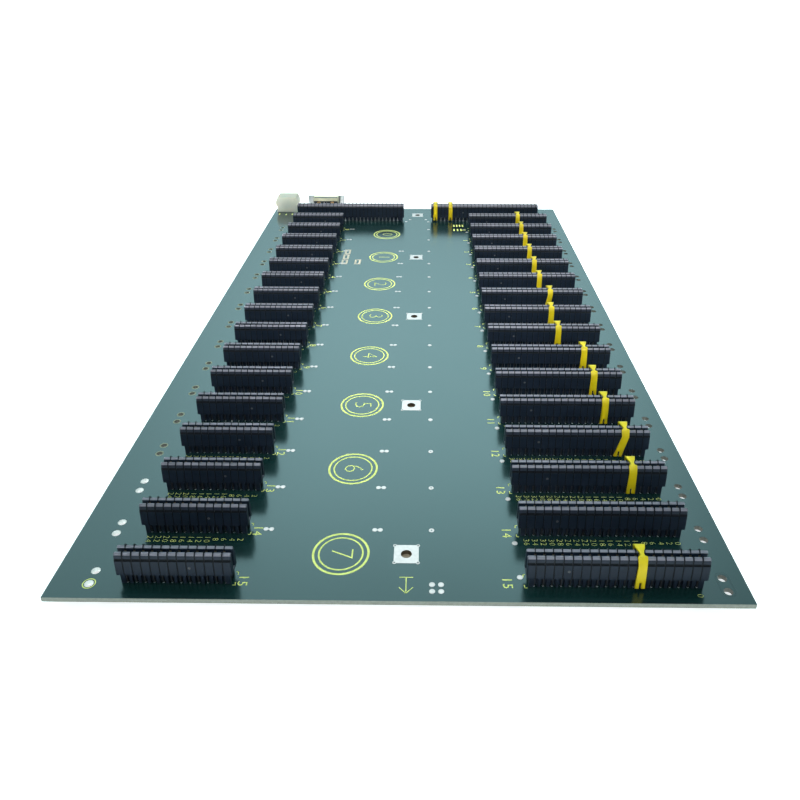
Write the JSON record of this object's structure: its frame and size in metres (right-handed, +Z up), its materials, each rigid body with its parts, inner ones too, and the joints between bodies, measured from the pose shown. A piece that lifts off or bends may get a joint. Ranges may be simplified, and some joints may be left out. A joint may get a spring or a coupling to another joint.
{
  "type": "backplane board",
  "caption": "Flat green circuit board with two columns of black card-edge connectors, keying bands, and power and data connectors at its far end.",
  "frame": {"origin": "axis of the middle mounting hole, at the board's underside", "axes": "+X across the board from the short connectors to the long ones, +Y along it towards the processor slot, +Z up from the board to the connectors"},
  "size_m": [0.308, 0.5661, 0.0215],
  "materials": {
    "board_laminate": "glossy solder mask over glass laminate",
    "connector_moulding": "satin moulded",
    "keying_band": "satin moulded",
    "header_nylon": "natural nylon",
    "tinned_brass": "tin plated",
    "plated_shell": "tin plated sheet",
    "passivated_shell": "yellow passivated sheet",
    "data_insulator": "moulded",
    "gold_contact": "gold flash"
  },
  "bodies": {
    "root": {"board": "board_laminate", "data_feet": "plated_shell", "data_insulator": "data_insulator", "data_power_contacts": "gold_contact", "data_rear_shell": "passivated_shell", "data_shell": "plated_shell", "data_signal_pins": "tinned_brass", "keying_band_00": "keying_band", "keying_band_01": "keying_band", "keying_band_02": "keying_band", "keying_band_03": "keying_band", "keying_band_04": "keying_band", "keying_band_05": "keying_band", "keying_band_06": "keying_band", "keying_band_07": "keying_band", "keying_band_08": "keying_band", "keying_band_09": "keying_band", "keying_band_10": "keying_band", "keying_band_11": "keying_band", "keying_band_12": "keying_band", "keying_band_13": "keying_band", "keying_band_15": "keying_band", "long_connector_00": "connector_moulding", "long_connector_01": "connector_moulding", "long_connector_02": "connector_moulding", "long_connector_03": "connector_moulding", "long_connector_04": "connector_moulding", "long_connector_05": "connector_moulding", "long_connector_06": "connector_moulding", "long_connector_07": "connector_moulding", "long_connector_08": "connector_moulding", "long_connector_09": "connector_moulding", "long_connector_10": "connector_moulding", "long_connector_11": "connector_moulding", "long_connector_12": "connector_moulding", "long_connector_13": "connector_moulding", "long_connector_14": "connector_moulding", "long_connector_15": "connector_moulding", "power_header": "header_nylon", "power_pins": "tinned_brass", "processor_band_1": "keying_band", "processor_band_2": "keying_band", "processor_connector_left": "connector_moulding", "processor_connector_right": "connector_moulding", "short_connector_00": "connector_moulding", "short_connector_01": "connector_moulding", "short_connector_02": "connector_moulding", "short_connector_03": "connector_moulding", "short_connector_04": "connector_moulding", "short_connector_05": "connector_moulding", "short_connector_06": "connector_moulding", "short_connector_07": "connector_moulding", "short_connector_08": "connector_moulding", "short_connector_09": "connector_moulding", "short_connector_10": "connector_moulding", "short_connector_11": "connector_moulding", "short_connector_12": "connector_moulding", "short_connector_13": "connector_moulding", "short_connector_14": "connector_moulding", "short_connector_15": "connector_moulding"}
  },
  "joints": []
}
